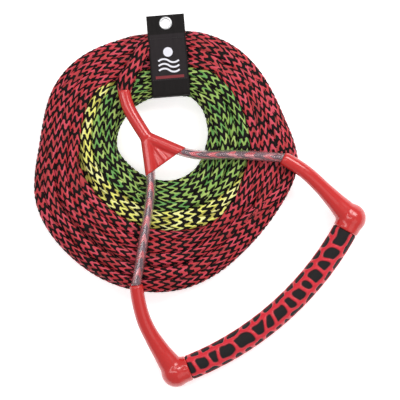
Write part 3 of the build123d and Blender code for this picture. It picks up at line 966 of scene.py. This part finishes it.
BAR_RADIUS = 0.393
BALL_RADIUS = 0.019
COLLAR_RADIUS = 0.0168
COLLAR_REACH = 0.0176
GRIP_RADIUS = 0.0150
RIB_HEIGHT = 0.0014
RIB_HALF_WIDTH = 0.0020
GRIP_SIDES = 120
GRIP_RINGS = 330


def bar_centre():
    """The centre of the bar's bend, level with the balls."""
    chord = BALLS["right"] - BALLS["left"]
    bulge = Vector((chord.y, -chord.x, 0)).normalized()
    sag = math.sqrt(BAR_RADIUS ** 2 - (chord.length / 2) ** 2)
    return (BALLS["left"] + BALLS["right"]) / 2 - bulge * sag


BAR_CENTRE = bar_centre()


def bar_line(start, end, count):
    """Points along the bar's middle, some way in from the left and the right ball."""
    angles = []
    for side, inward in (("left", start), ("right", -end)):
        spoke = BALLS[side] - BAR_CENTRE
        angles.append(math.atan2(spoke.y, spoke.x) + inward / BAR_RADIUS)
    turn = np.linspace(*angles, count)
    flat = np.stack([np.cos(turn), np.sin(turn), 0 * turn], -1)
    return np.array(BAR_CENTRE)[None, :] + BAR_RADIUS * flat


def tail_line(side):
    """A boot's tail, from inside the ball up to the hose."""
    return smooth_route([BALLS[side], *reversed(TAIL_BENDS[side]), TAIL_TOPS[side]], 20)


def boot(side):
    """The moulded ball, its collar round the bar and its tail up to the hose."""
    tail = tail_line(side)
    share = distances(tail) / distances(tail)[-1]
    radii = np.interp(share, [0, 0.12, 0.25, 0.45, 0.75, 0.97, 1],
                      [0.0150, 0.0146, 0.0122, 0.0101, 0.0092, 0.0090, 0.0086])
    inward = bar_line(0, 0, 400)
    inward = inward if side == "left" else inward[::-1]
    collar = inward[distances(inward) < COLLAR_REACH]
    along = distances(collar) / COLLAR_REACH
    parts = [ball(BALLS[side], BALL_RADIUS), rod(tail, radii),
             rod(collar, np.interp(along, [0, 0.6, 1], [0.0180, 0.0170, COLLAR_RADIUS]), 40)]
    piece = fused(f"boot_moulding_{side}", parts, MOULDED_RED, 0.0012, 22)
    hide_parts(f"boot_{side}")
    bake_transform(piece)


boot("left")
boot("right")

# lengths of the cells along the grip's top, and the slant of the rib after each
GRIP_CELLS = [
    (5.0, 0.0), (14.5, 0.0), (10.0, -0.15), (19.0, 0.2), (24.0, 0.35), (15.0, -0.45), (9.5, -0.4),
    (17.0, 0.1), (10.0, 0.0), (13.5, 0.0), (8.5, 0.1), (15.0, 0.15), (11.0, 0.3), (16.0, 0.3), (20.0, 0.0),
]
CROSS_RIB = 0.0040
TOP_ROW = 0.0200           # width of the row of cells along the top
SIDE_ROWS = 5              # rows of cells round the rest of the grip
CORNER_SOFTNESS = 0.0018


def cell_rows(length):
    """For each row of cells: where its cross ribs lie and how they slant."""
    lengths = np.array([size for size, slant in GRIP_CELLS]) * 0.001 + CROSS_RIB
    ribs = np.cumsum(lengths[:-1]) * length / lengths.sum()
    rows = [(ribs, np.array([slant for size, slant in GRIP_CELLS[:-1]]))]
    rng = np.random.default_rng(5)
    for _ in range(SIDE_ROWS):
        count = int(length / 0.019)
        ribs = np.cumsum(rng.uniform(0.012, 0.024, count)) - 0.006
        rows.append((ribs, rng.uniform(-0.35, 0.35, count)))
    return rows


def row_edges(along):
    """Where round the grip the wavy lengthwise ribs run."""
    girth = 2 * math.pi * GRIP_RADIUS
    side_row = (girth - TOP_ROW) / SIDE_ROWS
    edges = []
    for row in range(SIDE_ROWS + 1):
        wave = 0.0008 * np.sin(along / 0.0061 + 2.1 * row) + 0.0006 * np.sin(along / 0.0027 + 1.3 * row)
        edges.append(TOP_ROW / 2 + row * side_row + wave)
    return edges


def grip_pattern(along, around, length):
    """How much each point belongs to a rib, from 0 inside a cell to 1 on a rib's crest."""
    girth = 2 * math.pi * GRIP_RADIUS
    edges = row_edges(along)
    lower_edges = [edges[-1] - girth, *edges[:-1]]
    nearest = np.zeros(along.shape)
    for (ribs, slants), low, high in zip(cell_rows(length), lower_edges, edges):
        place = np.where(around > edges[-1], around - girth, around)
        inside = (place >= low) & (place < high)
        sideways = place - (low + high) / 2
        to_edge = np.minimum(place - low, high - place)
        to_rib = np.full(along.shape, 1.0)
        for rib, slant in zip(ribs, slants):
            bow = 0.0008 * np.sin(sideways / 0.0035 + 700 * rib)
            to_rib = np.minimum(to_rib, np.abs(along - rib - slant * sideways - bow))
        both = np.exp(-to_edge / CORNER_SOFTNESS) + np.exp(-to_rib / CORNER_SOFTNESS)
        nearest = np.where(inside, -np.log(both) * CORNER_SOFTNESS, nearest)
    return np.clip((RIB_HALF_WIDTH + 0.0007 - nearest) / 0.0014, 0, 1)


def grip_skin():
    """Matt dark foam in the cells, glossy red rubber on the ribs."""
    made, shader, tree = material("grip_skin", (0.03, 0.03, 0.032), 0.6, {"Specular IOR Level": 0.3})
    rib = marked(tree, "rib")
    grain = noise(tree, 900.0, 3.0)
    foam = mixed(tree, (0.006, 0.006, 0.007), (0.016, 0.013, 0.014), grain)
    colour = mixed(tree, foam, (0.72, 0.034, 0.052), rib)
    tree.links.new(colour, shader.inputs["Base Color"])
    tree.links.new(spread(tree, rib, 0.75, 0.20), shader.inputs["Roughness"])
    bump(tree, shader, grain, 0.15, 0.0003)
    return made


def grip():
    """The foam grip, its raised ribs a net of rounded cells."""
    line = bar_line(COLLAR_REACH, COLLAR_REACH, GRIP_RINGS)
    length = distances(line)[-1]
    turn = np.linspace(0, 2 * math.pi, GRIP_SIDES, endpoint=False)
    around = (turn * GRIP_RADIUS)[None, :]
    along = distances(line)[:, None]
    rib = grip_pattern(along + 0 * around, around + 0 * along, length)
    crest = rib * rib * (3 - 2 * rib)
    ends = np.minimum(along, length - along)
    tuck = np.clip(1 - ends / 0.0015, 0, 1) ** 2 * 0.0012
    radius = GRIP_RADIUS - 0.0004 + RIB_HEIGHT * crest - tuck
    points, faces = rod(line, radius, turn=math.pi / 2 - turn)
    piece = mesh_piece("grip_foam_piece", points, faces, [grip_skin()])
    mark(piece, "rib", np.clip(rib * 1.6 - 0.3, 0, 1))
    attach(piece, "bar")
    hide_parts("grip_sleeve")


grip()

# ---- the keeper ----

FLAP_HEIGHT = 0.0417
TAB_HEIGHT = 0.0393
FLAP_LENGTH = 0.1012
WALL = 0.0008              # strap's middle to the coil's wall
COIL_BAND = 0.0803
STRAP_THICKNESS = 0.0020
CLOSURE_HEIGHT = 0.0370
PANEL_START = 0.0180       # the printed panel sewn on the flap
PANEL_END = 0.0775
PANEL_HALF_WIDTH = 0.0225
STITCHES = 15              # in each row
STITCH_PITCH = 0.0030
STITCH_HALF_LENGTH = 0.0010
STITCH_RADII = [0.0001, 0.0003, 0.0001]
EYELET_FROM_END = 0.0103
EYELET_HOLE_RADIUS = 0.0051
EYELET_FLANGE_RADIUS = 0.0085
EYELET_SIDES = 48


def at_keeper(across, outward, height):
    """A point from the keeper's own across, outward and up."""
    x = KEEPER_EDGE.x + across * math.cos(KEEPER_TURN) - outward * math.sin(KEEPER_TURN)
    y = KEEPER_EDGE.y + across * math.sin(KEEPER_TURN) + outward * math.cos(KEEPER_TURN)
    return Vector((x, y, height))


def webbing():
    """Black woven webbing: fine cross ribs and threads, darkest between them."""
    made, shader, tree = material("black_webbing", (0.014, 0.013, 0.015), 0.75, {
        "Specular IOR Level": 0.25})
    place = tree.nodes.new("ShaderNodeTexCoord")
    heights = []
    for direction, scale in (("X", 900.0), ("Y", 450.0)):
        wave = tree.nodes.new("ShaderNodeTexWave")
        wave.bands_direction = direction
        wave.inputs["Scale"].default_value = scale
        wave.inputs["Distortion"].default_value = 0.6
        tree.links.new(place.outputs["UV"], wave.inputs["Vector"])
        heights.append(wave.outputs["Fac"])
    weave = tree.nodes.new("ShaderNodeMath")
    weave.operation = "MULTIPLY"
    tree.links.new(heights[0], weave.inputs[0])
    tree.links.new(heights[1], weave.inputs[1])
    bump(tree, shader, weave.outputs["Value"], 0.5, 0.0004)
    fuzz = noise(tree, 300.0, 4.0, (1.0, 0.15, 1.0), "UV")
    threads = mixed(tree, (0.004, 0.003, 0.003), (0.015, 0.012, 0.012), fuzz)
    colour = mixed(tree, threads, (0.014, 0.011, 0.013), marked(tree, "panel"), "ADD")
    tree.links.new(colour, shader.inputs["Base Color"])
    return made


WEBBING = webbing()


def strap(name, profile, half_width, thickness=STRAP_THICKNESS, columns=24):
    """Webbing along a profile of outward and upward places, with rounded edges."""
    line = smooth_route([(0, outward, height) for outward, height in profile], 16)
    along = distances(line)
    forward = unit(np.gradient(line, axis=0))
    up = np.cross(np.array([1.0, 0, 0]), forward)
    half = thickness / 2
    flat = half_width - half
    section = [(x * flat, half) for x in np.linspace(-1, 1, columns)]
    section += [(flat + half * math.sin(angle), half * math.cos(angle)) for angle in (0.8, 1.57, 2.34)]
    section = np.array(section + [(-across, -height) for across, height in section])
    points = []
    for place, rise in zip(line, up):
        for across, height in section:
            spot = place + rise * height
            points.append(at_keeper(across, spot[1], spot[2]))
    shape = (len(line), len(section))
    flow = np.stack([np.broadcast_to(section[:, 0], shape), np.broadcast_to(along[:, None], shape)], -1)
    piece = mesh_piece(name, points, tube_faces(*shape), [WEBBING], flow=flow.reshape(-1, 2))
    return piece, along[-1]


def keeper_strap():
    """The fixed webbing: over the coil's outer side, under it and up its inner side."""
    outer = COIL_BAND + WALL
    inner = -WALL
    low = STRAP_THICKNESS / 2
    bend = 0.005
    profile = [
        (0.038, CLOSURE_HEIGHT), (0.055, CLOSURE_HEIGHT), (outer - 2 * bend, CLOSURE_HEIGHT),
        (outer - bend / 2, CLOSURE_HEIGHT), (outer, CLOSURE_HEIGHT - bend), (outer, 0.020),
        (outer, low + bend), (outer - bend, low), (0.060, low), (0.020, low), (inner + bend, low),
        (inner, low + bend), (inner, 0.020), (inner, 0.0345),
    ]
    piece, length = strap("keeper_webbing", profile, STRAP_WIDTH / 2)
    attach(piece, "coil")
    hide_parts("keeper_strap")


def printed_panel(piece):
    """Mark the flap's sewn-on panel, a little paler than the webbing."""
    places = vertices(piece.data)
    across, outward = keeper_places(places[:, 0], places[:, 1])
    from_ends = np.minimum(outward - PANEL_START, PANEL_END - outward)
    from_edge = np.minimum(from_ends, PANEL_HALF_WIDTH - np.abs(across))
    mark(piece, "panel", np.clip(from_edge / 0.001, 0, 1))


def punched(piece, middle):
    """Cut the eyelet's hole through a strap."""
    low, high = middle - Vector((0, 0, 0.01)), middle + Vector((0, 0, 0.01))
    cutter = mesh_piece("punch", *rod(straight(low, high, 3), EYELET_HOLE_RADIUS + 0.0008, 40), [])
    hole = piece.modifiers.new("hole", "BOOLEAN")
    hole.object = cutter
    hole.solver = "EXACT"
    applied(piece)
    bpy.data.objects.remove(cutter)


def stitches():
    """Rows of thread along the printed panel's two sewn edges."""
    top = FLAP_HEIGHT + STRAP_THICKNESS / 2
    threads = []
    for outward in (PANEL_START + 0.0015, PANEL_END - 0.0060):
        for number in range(STITCHES):
            across = (number - STITCHES // 2) * STITCH_PITCH
            ends = [at_keeper(across + side * STITCH_HALF_LENGTH, outward, top) for side in (-1, 0, 1)]
            threads.append(rod(ends, STITCH_RADII, 8))
    thread = plain("sewing_thread", (0.030, 0.028, 0.030), 0.6, 900.0)
    piece = mesh_piece("keeper_stitches", *joined(threads), [thread])
    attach(piece, "flap")


def keeper_flap():
    """The flap: up out of the hole, over the coil, and out to the tab with its eyelet."""
    inner = -WALL
    profile = [
        (inner, 0.0345), (inner, 0.0375), (inner + 0.0004, FLAP_HEIGHT - 0.0006),
        (inner + 0.0046, FLAP_HEIGHT), (0.012, FLAP_HEIGHT), (0.040, FLAP_HEIGHT),
        (0.068, FLAP_HEIGHT), (0.074, FLAP_HEIGHT - 0.0006),
        (0.079, TAB_HEIGHT + 0.0004), (0.085, TAB_HEIGHT), (FLAP_LENGTH, TAB_HEIGHT),
    ]
    piece, length = strap("keeper_flap_piece", profile, STRAP_WIDTH / 2)
    printed_panel(piece)
    punched(piece, at_keeper(0, FLAP_LENGTH - EYELET_FROM_END, TAB_HEIGHT))
    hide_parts("keeper_flap")
    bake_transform(piece)


def plated():
    """Bright nickel, faintly brushed."""
    made, shader, tree = material("plated", (0.93, 0.93, 0.94), 0.3, {"Metallic": 1.0})
    tree.links.new(spread(tree, noise(tree, 400.0, 2.0), 0.28, 0.46), shader.inputs["Roughness"])
    return made


def eyelet():
    """The rolled eyelet: a domed flange, a barrel, and the ring under the tab."""
    half = STRAP_THICKNESS / 2
    bore, rim = EYELET_HOLE_RADIUS, EYELET_FLANGE_RADIUS
    profile = [
        (bore, half - 0.0002), (bore + 0.0006, half + 0.0008), (bore + 0.0018, half + 0.0012),
        (rim - 0.0010, half + 0.0007), (rim, half + 0.0001), (rim - 0.0004, half - 0.0003),
        (bore + 0.0009, half - 0.0003), (bore + 0.0009, -half), (rim - 0.0006, -half),
        (rim, -half - 0.0003), (rim - 0.0010, -half - 0.0006), (bore + 0.0010, -half - 0.0007),
        (bore, -half - 0.0002),
    ]
    middle = at_keeper(0, FLAP_LENGTH - EYELET_FROM_END, TAB_HEIGHT)
    turn = np.linspace(0, 2 * math.pi, EYELET_SIDES, endpoint=False)
    points = [middle + Vector((radius * math.cos(angle), radius * math.sin(angle), height))
              for angle in turn for radius, height in profile]
    piece = mesh_piece("eyelet_piece", points, hoop_faces(EYELET_SIDES, len(profile)), [plated()])
    soft = piece.modifiers.new("round", "SUBSURF")
    soft.levels = 1
    applied(piece)
    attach(piece, "flap")
    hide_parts("hang_eyelet", "eyelet_washer")


keeper_strap()
keeper_flap()
eyelet()
stitches()

# ---- finishes of the CAD pieces that stay ----


def finish_node(node, made):
    """Give a CAD piece its material."""
    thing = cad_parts[node]
    thing.data.materials.clear()
    thing.data.materials.append(made)


CORE_ROPE = plain("core_rope", (0.50, 0.02, 0.035), 0.5, 500.0)
PLUG = plain("plug_plastic", (0.06, 0.06, 0.065), 0.45, 200.0)
TAPE = plain("hook_and_loop", (0.018, 0.018, 0.020), 0.85, 1600.0)
finish_node("bar_tube", plain("drawn_aluminium", (0.78, 0.78, 0.79), 0.35, 300.0, 1.0))
finish_node("printed_emblem", plain("white_print", (0.80, 0.79, 0.86), 0.5, 700.0))
finish_node("printed_stripe", plain("red_print", (0.20, 0.012, 0.018), 0.6, 700.0))
finish_node("yoke_splice", CORE_ROPE)
finish_node("hook_patch", TAPE)
finish_node("loop_patch", TAPE)
for inner_side in ("left", "right"):
    finish_node(f"tail_rope_{inner_side}", CORE_ROPE)
    finish_node(f"stopper_knot_{inner_side}", CORE_ROPE)
    finish_node(f"bar_plug_{inner_side}", PLUG)

# ---- floor, light and camera ----


def floor():
    """A large plain light table: pale, glowing a little, faintly uneven in its shine."""
    made, shader, tree = material("floor", (0.92, 0.92, 0.92), 0.9, {
        "Emission Color": (1, 1, 1, 1), "Emission Strength": 0.55})
    tree.links.new(spread(tree, noise(tree, 40.0, 2.0), 0.85, 0.95), shader.inputs["Roughness"])
    half, low = 6.0, -0.0005
    corners = [(x * half, y * half, low) for x, y in ((-1, -1), (1, -1), (1, 1), (-1, 1))]
    mesh_piece("floor", corners, [(0, 1, 2, 3)], [made])


def lamp(name, place, size, power, target):
    """A soft rectangular light that faces a point."""
    light = bpy.data.lights.new(name, "AREA")
    light.shape = "RECTANGLE"
    light.size, light.size_y = size
    light.energy = power
    thing = new_object(name, light)
    thing.location = place
    thing.rotation_euler = (Vector(target) - Vector(place)).to_track_quat("-Z", "Y").to_euler()


def sky():
    """An even pale surround."""
    world = bpy.data.worlds.new("sky")
    bpy.context.scene.world = world
    world.use_nodes = True
    back = world.node_tree.nodes["Background"]
    back.inputs["Color"].default_value = (1, 1, 1, 1)
    back.inputs["Strength"].default_value = 0.45


def camera():
    """Straight above, with the view's top towards +Y."""
    data = bpy.data.cameras.new("camera")
    height = 3.0
    view_width = 0.508
    data.lens_unit = "FOV"
    data.sensor_fit = "HORIZONTAL"
    data.angle = 2 * math.atan(view_width / 2 / (height - 0.03))
    thing = new_object("camera", data)
    thing.location = (-0.054, 0.0013, height)
    bpy.context.scene.camera = thing


floor()
sky()
MIDDLE = (-0.05, 0.0, 0.0)
lamp("key", (0.9, 1.0, 1.5), (1.0, 0.8), 16.0, MIDDLE)
lamp("left_strip", (-0.75, 0.0, 1.6), (0.25, 2.0), 6.0, MIDDLE)
lamp("top_strip", (0.0, 0.85, 1.6), (2.0, 0.25), 6.0, MIDDLE)
lamp("fill", (0.9, -0.9, 1.6), (1.2, 1.2), 3.0, MIDDLE)
camera()
bpy.context.scene.view_settings.view_transform = "Standard"
